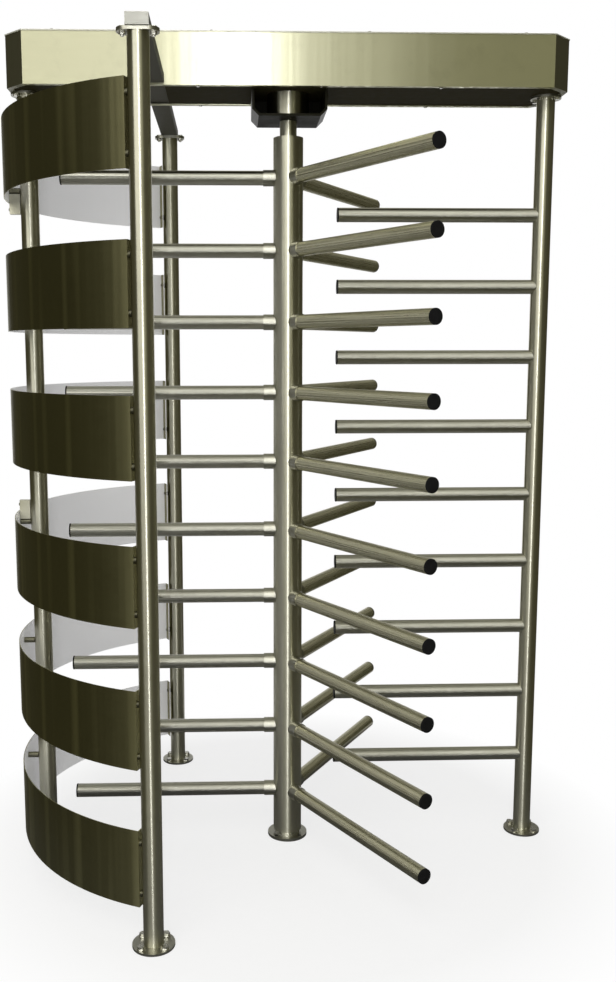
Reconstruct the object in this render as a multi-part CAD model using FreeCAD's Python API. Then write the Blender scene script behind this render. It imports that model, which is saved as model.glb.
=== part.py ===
import FreeCAD, Part
import math
import os

# Full height turnstile. Millimetres, +Z up, origin on the floor at the rotor axis.
# +X points to the comb post, -Y to the side that people come from.

Vec = FreeCAD.Vector

# Rotor
COLUMN_D = 80.0
COLUMN_WALL = 3.0
COLUMN_BOTTOM_Z = 18.0
COLUMN_ABOVE_TOP_ARM = 103.0
ARM_D = 38.0
ARM_WALL = 2.0
ARM_ROWS = 10
ARM_PITCH = 190.0
LOWEST_ARM_Z = 140.0
ARM_TIP_R = 606.0
ARM_ROOT_GAP = 1.0
ARM_CAP_T = 4.0
WING_ANGLES = (180.0, 300.0, 60.0)
SOCKET_D = 42.4
SOCKET_LENGTH = 27.0
PLUG_T = 20.0
SPIGOT_D = 30.0
SPIGOT_LENGTH = 22.0

# Floor pivot
PIVOT_PLATE_D = 112.0
PIVOT_PLATE_T = 8.0
PIVOT_HOLE_SPACING = 66.0
PIVOT_HOLE_D = 11.0
PIVOT_PIN_D = 30.0
PIVOT_PIN_IN_COLUMN = 26.0
PIVOT_RING_D = 70.0

# Posts and their flanges
POST_D = 48.3
POST_WALL = 2.0
HEAD_POST_INSET = 37.0
HEAD_FLANGE_D = 80.0
HEAD_BOLT_PCD = 64.0
DRUM_POST_INSET = 9.0
BEAM_FLANGE_LENGTH = 92.0
BEAM_FLANGE_W = 50.0
BEAM_FLANGE_T = 4.0
BEAM_BOLT_X = 33.0
BASE_FLANGE_D = 102.0
BASE_FLANGE_T = 6.0
BASE_BOLT_PCD = 78.0
ANCHOR_D = 10.0
TOP_FLANGE_T = 6.0
FLANGE_BOLT_D = 8.0
WASHER_T = 2.0

# Cross beam over the two drum posts
BEAM_W = 50.0
BEAM_H = 25.0
BEAM_WALL = 2.5
BEAM_OVERHANG = 28.0
BEAM_CAP_T = 3.0

# Curved drum panels
PANEL_ROWS = 6
PANEL_H = 190.0
PANEL_LOWEST_Z = 92.0
PANEL_TO_HEAD = 88.0
PANEL_T = 2.0
PANEL_R = 605.0
PANEL_TO_LEFT_POST = 29.0
PANEL_TO_DRUM_POST = 7.0
PANEL_HALF_ANGLE = 66.6
PANEL_RETURN = 24.0
PANEL_SCREW_INSET = 32.0
SPACER_D = 16.0
PANEL_SCREW_D = 6.0
STOP_CLIP_W = 16.0
STOP_CLIP_H = 52.0

# Comb of fixed bars
COMB_TIP_X = 132.0
COMB_CAP_T = 3.0

# Head
HEAD_LENGTH = 1450.0
HEAD_DEPTH = 230.0
HEAD_HEIGHT = 128.0
HEAD_CHAMFER = 50.0
HEAD_ABOVE_COLUMN = 107.0
SHEET_T = 2.0
LIP_W = 15.0
LID_T = 3.0
LID_OVERHANG = 1.5
BEAM_STEP = 5.0
PLATE_INSET = 3.0
RAIL_W = 20.0
RAIL_H = 30.0
RAIL_WALL = 2.0
RAIL_Y = 85.0
RAIL_INSET = 41.0
MOUNT_PLATE_T = 8.0
MOUNT_PLATE_LENGTH = 90.0
MOUNT_PLATE_INSET = 5.0
COVER_SCREW_X = (-235.0, 80.0, 385.0)
LID_SCREW_INSET = 125.0
LOCK_X = -171.0
LOCK_ABOVE_BOTTOM = 16.0
LOCK_BARREL_D = 10.0
LOCK_FACE_D = 14.0
LOCK_SLOT_W = 2.0
LOCK_SLOT_LENGTH = 6.0
LOCK_CAM_W = 8.0
LOCK_CAM_LENGTH = 20.0

# Bearing housing and drive shaft
HOUSING_W = 195.0
HOUSING_DEPTH = 150.0
HOUSING_H = 67.0
HOUSING_BEVEL = 17.0
HOUSING_WALL = 6.0
HUB_D = 110.0
SHAFT_D = 45.0
SHAFT_TOP_D = 40.0
BEARING_D = 80.0
BEARING_W = 18.0
BALL_D = 11.8
BALL_COUNT = 10
RING_WALL = 7.0
NECK_CLEAR = 0.5

# Locking mechanism
MECH_PLATE_X = 200.0
MECH_PLATE_T = 6.0
MECH_BOLT_PCD = 92.0
DISC_R = 75.0
DISC_T = 10.0
DISC_ABOVE_PLATE = 9.0
DISC_HUB_D = 52.0
SHAFT_END_ABOVE_DISC = 12.0
NOTCH_COUNT = 12
NOTCH_W = 16.0
NOTCH_DEPTH = 12.0
PAWL_SWING = 11.0
PAWL_PIVOT_X = 96.0
PAWL_PIVOT_Y = -60.0
PAWL_PIN_D = 10.0
PAWL_W = 16.0
PAWL_NOSE_W = 8.0
PAWL_NOSE_DEPTH = 9.0
PLUNGER_D = 10.0
PLUNGER_Y = -10.0
PLUNGER_LENGTH = 50.0
SOLENOID_GAP = 21.0
SOLENOID_LENGTH = 50.0
SOLENOID_W = 30.0
SOLENOID_H = 28.0
CONTROL_BOX_INSET = 195.0
CONTROL_BOX_LENGTH = 200.0
CONTROL_BOX_H = 60.0

# Clearances
FIT = 0.02
RUNNING = 0.05
SEAT_GAP = 0.3
HOLE_CLEAR = 1.0

# Sizes of bolt heads, nuts and button heads, as shares of their thread's diameter
HEX_HEAD_H = 0.64
HEX_ACROSS = 1.6
BUTTON_HEAD_H = 0.5
BUTTON_TOP_R = 0.6

# Heights that follow from the sizes above
TOP_ARM_Z = LOWEST_ARM_Z + (ARM_ROWS - 1) * ARM_PITCH
COLUMN_TOP_Z = TOP_ARM_Z + COLUMN_ABOVE_TOP_ARM
HEAD_BOTTOM_Z = COLUMN_TOP_Z + HEAD_ABOVE_COLUMN
PANEL_PITCH = (HEAD_BOTTOM_Z - PANEL_TO_HEAD - PANEL_H - PANEL_LOWEST_Z) / (PANEL_ROWS - 1)
HEAD_TOP_Z = HEAD_BOTTOM_Z + HEAD_HEIGHT
PLATE_Z = HEAD_BOTTOM_Z + SHEET_T
PLATE_TOP_Z = PLATE_Z + SHEET_T
MOUNT_TOP_Z = PLATE_TOP_Z + MOUNT_PLATE_T
RAIL_TOP_Z = MOUNT_TOP_Z + RAIL_H
BEAM_Z = HEAD_BOTTOM_Z + BEAM_STEP
DRUM_POST_TOP_Z = BEAM_Z - 2 * BEAM_FLANGE_T
HEAD_POST_TOP_Z = PLATE_Z - TOP_FLANGE_T
MECH_TOP_Z = RAIL_TOP_Z + MECH_PLATE_T
DISC_Z = MECH_TOP_Z + DISC_ABOVE_PLATE
BEARING_Z = RAIL_TOP_Z - BEARING_W
SHAFT_TOP_Z = DISC_Z + DISC_T + SHAFT_END_ABOVE_DISC
COLUMN_R = COLUMN_D / 2
POST_R = POST_D / 2

# Panel and edge where each stop clip shows: the top panel, and the panel under the middle
CLIP_ROWS = ((PANEL_ROWS - 1, "bottom"), (PANEL_ROWS // 2 - 1, "top"))

# Places in plan that follow from the sizes above
HEAD_POST_X = HEAD_LENGTH / 2 - HEAD_POST_INSET
LEFT_POST_FACE_X = -HEAD_POST_X - POST_R
PANEL_INNER_X = LEFT_POST_FACE_X - PANEL_TO_LEFT_POST
PANEL_CENTRE_X = PANEL_INNER_X - PANEL_T + PANEL_R
PANEL_END = math.radians(PANEL_HALF_ANGLE)
DRUM_POST_R_PLACE = PANEL_R - DRUM_POST_INSET
DRUM_POST_BEYOND = PANEL_TO_DRUM_POST + POST_R
DRUM_POST_X = (PANEL_CENTRE_X - DRUM_POST_R_PLACE * math.cos(PANEL_END)
               + DRUM_POST_BEYOND * math.sin(PANEL_END))
DRUM_POST_Y = DRUM_POST_R_PLACE * math.sin(PANEL_END) + DRUM_POST_BEYOND * math.cos(PANEL_END)


def cylinder(diameter, height, base, direction=Vec(0, 0, 1)):
    return Part.makeCylinder(diameter / 2, height, base, direction)


def tube(outer_d, inner_d, height, base, direction=Vec(0, 0, 1)):
    outer = cylinder(outer_d, height, base, direction)
    return outer.cut(cylinder(inner_d, height, base, direction))


def box(x0, x1, y0, y1, z0, z1):
    return Part.makeBox(x1 - x0, y1 - y0, z1 - z0, Vec(x0, y0, z0))


def prism(points, z0, height):
    corners = [Vec(x, y, z0) for x, y in points]
    wire = Part.makePolygon(corners + [corners[0]])
    return Part.Face(wire).extrude(Vec(0, 0, height))


def hexagon(across, z0, height, x, y):
    radius = across / math.sqrt(3)
    points = [polar(radius, 60 * i, x, y) for i in range(6)]
    return prism(points, z0, height)


def polar(radius, degrees, x=0.0, y=0.0):
    turn = math.radians(degrees)
    return (x + radius * math.cos(turn), y + radius * math.sin(turn))


def turned(shape, degrees, centre=Vec(0, 0, 0)):
    result = shape.copy()
    result.rotate(centre, Vec(0, 0, 1), degrees)
    return result


def moved(shape, x=0.0, y=0.0, z=0.0):
    result = shape.copy()
    result.translate(Vec(x, y, z))
    return result


def mirrored_x(shape):
    return shape.mirror(Vec(0, 0, 0), Vec(1, 0, 0))


def cut_all(shape, tools):
    return shape.cut(Part.makeCompound(tools)) if tools else shape


def save(name, *solids):
    shape = solids[0] if len(solids) == 1 else Part.makeCompound(list(solids))
    shape.exportStep("parts/" + name + ".step")


def hex_bolt(diameter, x, y, z_head, grip, head_up=True):
    """Hex bolt along Z: z_head is the face under its head, grip the length of its shank."""
    head_h = HEX_HEAD_H * diameter
    if head_up:
        head = hexagon(HEX_ACROSS * diameter, z_head, head_h, x, y)
        shank = cylinder(diameter, grip, Vec(x, y, z_head - grip))
    else:
        head = hexagon(HEX_ACROSS * diameter, z_head - head_h, head_h, x, y)
        shank = cylinder(diameter, grip, Vec(x, y, z_head))
    return head.fuse(shank).removeSplitter()


def nut(diameter, x, y, z):
    height = HEX_HEAD_H * diameter
    body = hexagon(HEX_ACROSS * diameter, z, height, x, y)
    return body.cut(cylinder(diameter + 2 * FIT, height, Vec(x, y, z)))


# Where things stand
HEAD_POSTS = {"left": (-HEAD_POST_X, 0.0), "right": (HEAD_POST_X, 0.0)}
DRUM_POSTS = {"front": (DRUM_POST_X, -DRUM_POST_Y), "rear": (DRUM_POST_X, DRUM_POST_Y)}


def square_pattern(pcd, x, y):
    return [polar(pcd / 2, 45 + 90 * i, x, y) for i in range(4)]


def head_bolt_points(x, y):
    return square_pattern(HEAD_BOLT_PCD, x, y)


def beam_bolt_points(x, y):
    return [(x - BEAM_BOLT_X, y), (x + BEAM_BOLT_X, y)]


def holes(points, diameter, z0, height):
    return [cylinder(diameter, height, Vec(x, y, z0)) for x, y in points]


def make_posts():
    inner = POST_D - 2 * POST_WALL
    for side, (x, y) in HEAD_POSTS.items():
        height = HEAD_POST_TOP_Z - BASE_FLANGE_T
        save("head_post_" + side, tube(POST_D, inner, height, Vec(x, y, BASE_FLANGE_T)))
    for side, (x, y) in DRUM_POSTS.items():
        height = DRUM_POST_TOP_Z - BASE_FLANGE_T
        save("drum_post_" + side, tube(POST_D, inner, height, Vec(x, y, BASE_FLANGE_T)))


def make_base_flanges():
    flanges = []
    bolts = []
    washers = []
    for x, y in list(HEAD_POSTS.values()) + list(DRUM_POSTS.values()):
        points = square_pattern(BASE_BOLT_PCD, x, y)
        plate = cylinder(BASE_FLANGE_D, BASE_FLANGE_T, Vec(x, y, 0))
        flanges.append(cut_all(plate, holes(points, ANCHOR_D + HOLE_CLEAR, 0, BASE_FLANGE_T)))
        for bx, by in points:
            seat = Vec(bx, by, BASE_FLANGE_T)
            washers.append(tube(2 * ANCHOR_D, ANCHOR_D + 2 * FIT, WASHER_T, seat))
            grip = BASE_FLANGE_T + WASHER_T - SEAT_GAP
            bolts.append(hex_bolt(ANCHOR_D, bx, by, BASE_FLANGE_T + WASHER_T, grip))
    save("base_flanges", *flanges)
    save("anchor_bolts", *bolts)
    save("anchor_washers", *washers)


def make_top_flanges():
    """Round plates under the head, and pairs of long ones between the drum posts and the beam."""
    hole_d = FLANGE_BOLT_D + HOLE_CLEAR
    under_head = []
    for x, y in HEAD_POSTS.values():
        plate = cylinder(HEAD_FLANGE_D, TOP_FLANGE_T, Vec(x, y, HEAD_POST_TOP_Z))
        cuts = holes(head_bolt_points(x, y), hole_d, HEAD_POST_TOP_Z, TOP_FLANGE_T)
        under_head.append(cut_all(plate, cuts))
    save("head_flanges", *under_head)
    under_beam = []
    for x, y in DRUM_POSTS.values():
        cuts = holes(beam_bolt_points(x, y), hole_d, DRUM_POST_TOP_Z, BEAM_FLANGE_T)
        plate = cut_all(round_ended_plate(x, y, DRUM_POST_TOP_Z), cuts)
        under_beam.append(plate)
        under_beam.append(moved(plate, z=BEAM_FLANGE_T))
    save("beam_flanges", *under_beam)


def round_ended_plate(x, y, z):
    half_w = BEAM_FLANGE_W / 2
    reach = BEAM_FLANGE_LENGTH / 2 - half_w
    middle = box(x - reach, x + reach, y - half_w, y + half_w, z, z + BEAM_FLANGE_T)
    ends = holes([(x - reach, y), (x + reach, y)], BEAM_FLANGE_W, z, BEAM_FLANGE_T)
    return middle.fuse(ends).removeSplitter()


def make_flange_bolts():
    bolts = []
    nuts = []
    for x, y in HEAD_POSTS.values():
        for bx, by in head_bolt_points(x, y):
            grip = TOP_FLANGE_T + SHEET_T + MOUNT_PLATE_T + FLANGE_BOLT_D
            bolts.append(hex_bolt(FLANGE_BOLT_D, bx, by, HEAD_POST_TOP_Z, grip, head_up=False))
            nuts.append(nut(FLANGE_BOLT_D, bx, by, MOUNT_TOP_Z))
    for x, y in DRUM_POSTS.values():
        for bx, by in beam_bolt_points(x, y):
            grip = 2 * BEAM_FLANGE_T + FLANGE_BOLT_D
            bolts.append(hex_bolt(FLANGE_BOLT_D, bx, by, BEAM_Z, grip))
            nut_h = HEX_HEAD_H * FLANGE_BOLT_D
            nuts.append(nut(FLANGE_BOLT_D, bx, by, DRUM_POST_TOP_Z - nut_h))
    for x, y in mechanism_bolt_points():
        grip = MECH_PLATE_T + FLANGE_BOLT_D
        bolts.append(hex_bolt(FLANGE_BOLT_D, x, y, MECH_TOP_Z, grip))
    save("flange_bolts", *bolts)
    save("flange_nuts", *nuts)


def mechanism_bolt_points():
    return square_pattern(MECH_BOLT_PCD, 0, 0)


def make_cross_beam():
    reach = DRUM_POST_Y + BEAM_OVERHANG
    x0 = DRUM_POST_X - BEAM_W / 2
    x1 = DRUM_POST_X + BEAM_W / 2
    outer = box(x0, x1, -reach, reach, BEAM_Z, BEAM_Z + BEAM_H)
    wall = BEAM_WALL
    inner = box(x0 + wall, x1 - wall, -reach, reach, BEAM_Z + wall, BEAM_Z + BEAM_H - wall)
    save("cross_beam", outer.cut(inner))
    front_cap = box(x0, x1, -reach - BEAM_CAP_T, -reach, BEAM_Z, BEAM_Z + BEAM_H)
    rear_cap = moved(front_cap, y=2 * reach + BEAM_CAP_T)
    save("beam_caps", front_cap, rear_cap)


# Curved panels: an arc about PANEL_CENTRE_X with a radial return fold at each end
def panel_bottoms():
    return [PANEL_LOWEST_Z + i * PANEL_PITCH for i in range(PANEL_ROWS)]


def panel_screw_heights(bottom):
    return (bottom + PANEL_SCREW_INSET, bottom + PANEL_H - PANEL_SCREW_INSET)


def panel_sheet(bottom):
    arc_outer = [polar(PANEL_R, 180 + i * PANEL_HALF_ANGLE, PANEL_CENTRE_X) for i in (-1, 0, 1)]
    inner_r = PANEL_R - PANEL_T
    arc_inner = [polar(inner_r, 180 + i * PANEL_HALF_ANGLE, PANEL_CENTRE_X) for i in (1, 0, -1)]

    def at(point):
        return Vec(point[0], point[1], bottom)

    edges = [
        Part.Arc(*[at(p) for p in arc_outer]).toShape(),
        Part.makeLine(at(arc_outer[2]), at(arc_inner[0])),
        Part.Arc(*[at(p) for p in arc_inner]).toShape(),
        Part.makeLine(at(arc_inner[2]), at(arc_outer[0])),
    ]
    sheet = Part.Face(Part.Wire(edges)).extrude(Vec(0, 0, PANEL_H))
    for side in (-1, 1):
        sheet = sheet.fuse(panel_return(side, bottom))
    return sheet.removeSplitter()


def panel_return(side, bottom):
    """The fold at one end: a flat strip in the radial plane, on the panel's own side of it."""
    r0 = PANEL_R - PANEL_RETURN
    strip = box(r0, PANEL_R - PANEL_T / 2, 0, PANEL_T, bottom, bottom + PANEL_H)
    if side > 0:
        strip = moved(strip, y=-PANEL_T)
    return moved(turned(strip, 180 + side * PANEL_HALF_ANGLE), x=PANEL_CENTRE_X)


def return_screw_frames():
    """For each panel end: a point on the fold's outer face and the direction to the post."""
    frames = []
    for side in (-1, 1):
        angle = 180 + side * PANEL_HALF_ANGLE
        x, y = polar(DRUM_POST_R_PLACE, angle, PANEL_CENTRE_X)
        across = Vec(0, side, 0)
        direction = FreeCAD.Rotation(Vec(0, 0, 1), angle).multVec(across)
        frames.append((x, y, direction))
    return frames


def make_panels():
    hole_d = PANEL_SCREW_D + HOLE_CLEAR
    for i, bottom in enumerate(panel_bottoms()):
        sheet = panel_sheet(bottom)
        cuts = []
        for z in panel_screw_heights(bottom):
            cuts.append(cylinder(hole_d, 4 * PANEL_T, left_skin_point(z), Vec(1, 0, 0)))
            for x, y, direction in return_screw_frames():
                back = direction * (-2 * PANEL_T)
                cuts.append(cylinder(hole_d, 4 * PANEL_T, Vec(x, y, z) + back, direction))
        save("drum_panel_%d" % (i + 1), cut_all(sheet, cuts))


def left_skin_point(z):
    return Vec(PANEL_CENTRE_X - PANEL_R - PANEL_T, 0, z)


def button_screw(base, direction, grip):
    """Round-headed screw: base is the seat under its head, direction runs along its shank."""
    top_r = BUTTON_TOP_R * PANEL_SCREW_D
    head = Part.makeCone(PANEL_SCREW_D, top_r, BUTTON_HEAD_H * PANEL_SCREW_D, base, direction * -1)
    shank = cylinder(PANEL_SCREW_D, grip, base, direction)
    return head.fuse(shank).removeSplitter()


def make_panel_fixings():
    spacers = []
    screws = []
    bore = PANEL_SCREW_D + 2 * FIT
    inward = Vec(1, 0, 0)
    end_length = PANEL_TO_DRUM_POST - SEAT_GAP
    post_length = PANEL_TO_LEFT_POST - 2 * SEAT_GAP
    for bottom in panel_bottoms():
        for z in panel_screw_heights(bottom):
            for x, y, direction in return_screw_frames():
                face = Vec(x, y, z)
                spacers.append(tube(SPACER_D, bore, end_length, face, direction))
                seat = face + direction * (-PANEL_T)
                screws.append(button_screw(seat, direction, PANEL_T + end_length))
            start = Vec(PANEL_INNER_X + SEAT_GAP, 0, z)
            spacers.append(tube(SPACER_D, bore, post_length, start, inward))
            seat = Vec(PANEL_INNER_X - PANEL_T - SEAT_GAP, 0, z)
            screws.append(button_screw(seat, inward, PANEL_T + PANEL_TO_LEFT_POST))
    for seat, length in stop_clip_screw_seats():
        screws.append(button_screw(seat, inward, length))
    save("panel_spacers", *spacers)
    save("panel_screws", *screws)


def stop_clip_span():
    """Where a clip starts and ends between the panels' inner face and the left post."""
    return PANEL_INNER_X + 2 * SEAT_GAP, LEFT_POST_FACE_X - SEAT_GAP


def stop_clip_screw_seats():
    start, end = stop_clip_span()
    seats = []
    for row, edge in CLIP_ROWS:
        bottom = panel_bottoms()[row]
        below = bottom - STOP_CLIP_W
        above = bottom + PANEL_H + STOP_CLIP_W
        seats.append((Vec(start, 0, below if edge == "bottom" else above), end - start))
    return seats


def make_stop_clips():
    """Blocks on the left post that show beyond one panel's edge."""
    start, end = stop_clip_span()
    half = STOP_CLIP_W / 2
    inside = PANEL_SCREW_INSET - SPACER_D / 2 - SEAT_GAP
    clips = []
    for (row, edge), (seat, length) in zip(CLIP_ROWS, stop_clip_screw_seats()):
        bottom = panel_bottoms()[row]
        if edge == "bottom":
            z0 = bottom + inside - STOP_CLIP_H
        else:
            z0 = bottom + PANEL_H - inside
        block = box(start, end, -half, half, z0, z0 + STOP_CLIP_H)
        hole = cylinder(PANEL_SCREW_D + 2 * FIT, length, seat, Vec(1, 0, 0))
        clips.append(block.cut(hole))
    save("stop_clips", *clips)


def make_comb():
    bars = []
    caps = []
    post = cylinder(POST_D + 2 * SEAT_GAP, HEAD_TOP_Z, Vec(HEAD_POST_X, 0, 0))
    along = Vec(1, 0, 0)
    for i in range(ARM_ROWS - 1):
        z = LOWEST_ARM_Z + (i + 0.5) * ARM_PITCH
        start = COMB_TIP_X + COMB_CAP_T
        bar = tube(ARM_D, ARM_D - 2 * ARM_WALL, HEAD_POST_X - start, Vec(start, 0, z), along)
        bars.append(bar.cut(post))
        caps.append(cylinder(ARM_D, COMB_CAP_T, Vec(COMB_TIP_X, 0, z), along))
    save("comb_bars", *bars)
    save("comb_caps", *caps)


# Head: a chamfered box of sheet with an inner frame
def head_outline(inset):
    """Corners of the chamfered plan outline, moved in by inset on every side."""
    x = HEAD_LENGTH / 2 - inset
    y = HEAD_DEPTH / 2 - inset
    shift = inset * (math.sqrt(2) - 1)
    cx = HEAD_LENGTH / 2 - HEAD_CHAMFER - shift
    cy = HEAD_DEPTH / 2 - HEAD_CHAMFER - shift
    return [(-cx, -y), (cx, -y), (x, -cy), (x, cy), (cx, y), (-cx, y), (-x, cy), (-x, -cy)]


def head_ring(z0, height, width):
    outer = prism(head_outline(0), z0, height)
    return outer.cut(prism(head_outline(width), z0, height))


def beam_passage(z0, z1):
    half = BEAM_W / 2 + HOLE_CLEAR
    y = HEAD_DEPTH
    return box(DRUM_POST_X - half, DRUM_POST_X + half, -y, y, z0, z1)


def lid_screw_xs():
    end = HEAD_LENGTH / 2 - LID_SCREW_INSET
    return [end * i / 3 for i in (-3, -1, 1, 3)]


def cover_screw_points(xs):
    y = HEAD_DEPTH / 2 - LIP_W / 2
    return [(x, side * y) for x in xs for side in (-1, 1)]


def make_head_shell():
    """A sheet wall with a lip turned in at its foot and its top, in four lengths."""
    wall = head_ring(HEAD_BOTTOM_Z, HEAD_HEIGHT, SHEET_T)
    lip = head_ring(HEAD_BOTTOM_Z, SHEET_T, LIP_W)
    top_lip = moved(lip, z=HEAD_HEIGHT - SHEET_T)
    shell = wall.fuse([lip, top_lip]).removeSplitter()
    corner_x = HEAD_LENGTH / 2 - HEAD_CHAMFER
    end_x = HEAD_LENGTH / 2
    y = HEAD_DEPTH / 2
    notch = beam_passage(BEAM_Z - SEAT_GAP, BEAM_Z + BEAM_H + HOLE_CLEAR)
    hole_d = PANEL_SCREW_D + HOLE_CLEAR
    screw_cuts = holes(cover_screw_points(COVER_SCREW_X), hole_d, HEAD_BOTTOM_Z, SHEET_T)
    screw_cuts += holes(cover_screw_points(lid_screw_xs()), hole_d, HEAD_TOP_Z - SHEET_T, SHEET_T)
    lock_z = HEAD_BOTTOM_Z + LOCK_ABOVE_BOTTOM
    lock_hole = cylinder(LOCK_BARREL_D + 2 * RUNNING, 2 * SHEET_T, Vec(LOCK_X, -y, lock_z), Vec(0, 1, 0))
    front = shell.common(box(-corner_x, corner_x, -y, 0, HEAD_BOTTOM_Z, HEAD_TOP_Z))
    rear = shell.common(box(-corner_x, corner_x, 0, y, HEAD_BOTTOM_Z, HEAD_TOP_Z))
    save("head_fascia_front", cut_all(front, [notch, lock_hole] + screw_cuts))
    save("head_fascia_rear", cut_all(rear, [notch] + screw_cuts))
    right = shell.common(box(corner_x, end_x, -y, y, HEAD_BOTTOM_Z, HEAD_TOP_Z))
    flange_room = HEAD_FLANGE_D + 2 * HOLE_CLEAR
    right = right.cut(cylinder(flange_room, SHEET_T, Vec(HEAD_POST_X, 0, HEAD_BOTTOM_Z)))
    save("head_end_right", right)
    save("head_end_left", mirrored_x(right))


def make_head_plates():
    plate = prism(head_outline(PLATE_INSET), PLATE_Z, SHEET_T)
    for x, y in HEAD_POSTS.values():
        cuts = holes(head_bolt_points(x, y), FLANGE_BOLT_D + HOLE_CLEAR, PLATE_Z, SHEET_T)
        plate = cut_all(plate, cuts)
    screw_hole = PANEL_SCREW_D + HOLE_CLEAR
    plate = cut_all(plate, holes(cover_screw_points(COVER_SCREW_X), screw_hole, PLATE_Z, SHEET_T))
    plate = plate.cut(cylinder(HUB_D + 2 * HOLE_CLEAR, SHEET_T, Vec(0, 0, PLATE_Z)))
    half = BEAM_W / 2 + HOLE_CLEAR
    y = HEAD_DEPTH / 2
    x_end = HEAD_LENGTH / 2
    left_of_beam = box(-x_end, DRUM_POST_X - half, -y, y, PLATE_Z, PLATE_TOP_Z)
    right_of_beam = box(DRUM_POST_X + half, x_end, -y, y, PLATE_Z, PLATE_TOP_Z)
    save("head_floor_left", plate.common(left_of_beam))
    save("head_floor_right", plate.common(right_of_beam))
    lid = prism(head_outline(-LID_OVERHANG), HEAD_TOP_Z, LID_T)
    lid_cuts = holes(cover_screw_points(lid_screw_xs()), screw_hole, HEAD_TOP_Z, LID_T)
    save("head_lid", cut_all(lid, lid_cuts))


def make_head_screws():
    up = Vec(0, 0, 1)
    screws = []
    for x, y in cover_screw_points(COVER_SCREW_X):
        screws.append(button_screw(Vec(x, y, HEAD_BOTTOM_Z), up, 3 * SHEET_T))
    top = HEAD_TOP_Z + LID_T
    for x, y in cover_screw_points(lid_screw_xs()):
        screws.append(button_screw(Vec(x, y, top), up * -1, LID_T + 2 * SHEET_T))
    save("head_screws", *screws)


def make_head_frame():
    bolt_hole = FLANGE_BOLT_D + HOLE_CLEAR
    room = prism(head_outline(2 * SHEET_T), PLATE_TOP_Z, MOUNT_PLATE_T)
    reach = RAIL_Y + RAIL_W / 2
    x1 = HEAD_LENGTH / 2 - MOUNT_PLATE_INSET
    rail_end = HEAD_LENGTH / 2 - RAIL_INSET
    block = box(x1 - MOUNT_PLATE_LENGTH, x1, -reach, reach, PLATE_TOP_Z, MOUNT_TOP_Z).common(room)
    cuts = holes(head_bolt_points(HEAD_POST_X, 0), bolt_hole, PLATE_TOP_Z, MOUNT_PLATE_T)
    block = cut_all(block, cuts)
    save("mount_plates", block, mirrored_x(block))
    beam_left = DRUM_POST_X - BEAM_W / 2
    beam_right = DRUM_POST_X + BEAM_W / 2
    rails = []
    for y in (-RAIL_Y, RAIL_Y):
        rails.append(rail(-rail_end, beam_left, y))
        rails.append(rail(beam_right, rail_end, y))
    save("head_rails", *rails)


def rail(x0, x1, y):
    half = RAIL_W / 2
    outer = box(x0, x1, y - half, y + half, MOUNT_TOP_Z, RAIL_TOP_Z)
    wall = RAIL_WALL
    inner = box(x0, x1, y - half + wall, y + half - wall, MOUNT_TOP_Z + wall, RAIL_TOP_Z - wall)
    return outer.cut(inner)


def make_cover_lock():
    y = -HEAD_DEPTH / 2
    z = HEAD_BOTTOM_Z + LOCK_ABOVE_BOTTOM
    inward = Vec(0, 1, 0)
    face_t = SHEET_T
    face = cylinder(LOCK_FACE_D, face_t, Vec(LOCK_X, y - face_t - SEAT_GAP, z), inward)
    barrel_length = face_t + 4 * SHEET_T
    barrel = cylinder(LOCK_BARREL_D, barrel_length, Vec(LOCK_X, y - face_t - SEAT_GAP, z), inward)
    front_y = y - face_t - SEAT_GAP
    half_w = LOCK_SLOT_W / 2
    half_l = LOCK_SLOT_LENGTH / 2
    slot = box(LOCK_X - half_w, LOCK_X + half_w, front_y, front_y + face_t / 2, z - half_l, z + half_l)
    cam_y = y + 2 * SHEET_T
    half_cam = LOCK_CAM_W / 2
    cam = box(LOCK_X - half_cam, LOCK_X + half_cam, cam_y, cam_y + SHEET_T, z, z + LOCK_CAM_LENGTH)
    save("cover_lock", face.fuse([barrel, cam]).cut(slot).removeSplitter())


# Bearing housing, bearing and shaft
def housing_box(inset):
    """The housing's outer form, bevelled along its two lower side edges, moved in by inset."""
    half_w = HOUSING_W / 2 - inset
    half_d = HOUSING_DEPTH / 2 - inset
    z0 = PLATE_Z - HOUSING_H + inset
    bevel = HOUSING_BEVEL - inset * (2 - math.sqrt(2))
    right = [(half_w - bevel, z0), (half_w, z0 + bevel), (half_w, PLATE_Z)]
    left = [(-x, z) for x, z in reversed(right)]
    corners = [Vec(x, -half_d, z) for x, z in right + left]
    wire = Part.makePolygon(corners + [corners[0]])
    return Part.Face(wire).extrude(Vec(0, 2 * half_d, 0))


def make_bearing_housing():
    """A box under the head, open at its top and its front, with a boss that carries the bearing."""
    z0 = PLATE_Z - HOUSING_H
    boss = cylinder(HUB_D, RAIL_TOP_Z - z0, Vec(0, 0, z0))
    room = housing_box(HOUSING_WALL)
    front_room = moved(room, y=-2 * HOUSING_WALL)
    body = cut_all(housing_box(0), [room, front_room]).fuse(boss).removeSplitter()
    neck = cylinder(SHAFT_D + 2 * NECK_CLEAR, RAIL_TOP_Z - z0, Vec(0, 0, z0))
    seat = cylinder(BEARING_D + 2 * FIT, BEARING_W, Vec(0, 0, BEARING_Z))
    depth = 2 * FLANGE_BOLT_D
    bolt_d = FLANGE_BOLT_D + 2 * FIT
    bolt_cuts = holes(mechanism_bolt_points(), bolt_d, RAIL_TOP_Z - depth, depth)
    save("bearing_housing", cut_all(body, [neck, seat] + bolt_cuts))


def bearing_pitch_r():
    return (BEARING_D + SHAFT_TOP_D) / 4


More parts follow.
